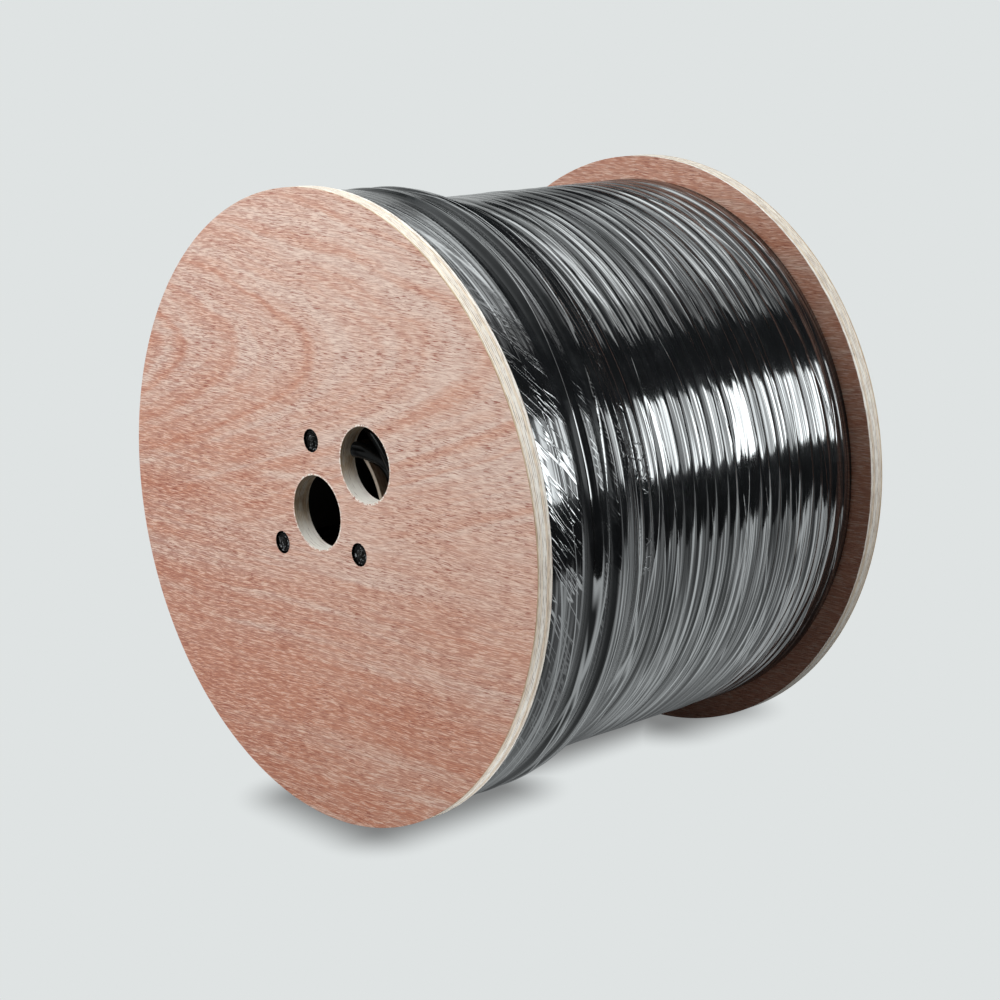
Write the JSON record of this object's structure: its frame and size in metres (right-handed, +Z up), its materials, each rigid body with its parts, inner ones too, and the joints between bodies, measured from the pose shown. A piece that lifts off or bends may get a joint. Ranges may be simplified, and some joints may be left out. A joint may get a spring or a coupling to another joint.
{
  "type": "wooden cable drum",
  "caption": "Plywood cable drum lying on its rims, full of black cable under stretch film, with an arbor bore and a lead hole in the front flange.",
  "frame": {"origin": "on the floor under the middle of the drum", "axes": "+Z up, +Y along the drum's axis from the front flange to the back flange, +X to the right as seen from the front"},
  "size_m": [0.4249, 0.322, 0.425],
  "materials": {
    "plywood": "bare veneer",
    "paper_tube": "matte kraft paper",
    "steel_rod": "blackened thread",
    "black_nut": "black gloss",
    "cable_jacket": "satin black",
    "film": "glossy film over black cable"
  },
  "bodies": {
    "root": {"front_flange": "plywood", "back_flange": "plywood", "barrel": "paper_tube", "tie_rod_1": "steel_rod", "tie_rod_2": "steel_rod", "tie_rod_3": "steel_rod", "front_nut_1": "black_nut", "front_nut_2": "black_nut", "front_nut_3": "black_nut", "back_nut_1": "black_nut", "back_nut_2": "black_nut", "back_nut_3": "black_nut", "cable_coil": "cable_jacket", "cable_tail": "cable_jacket", "stretch_film": "film"}
  },
  "joints": []
}
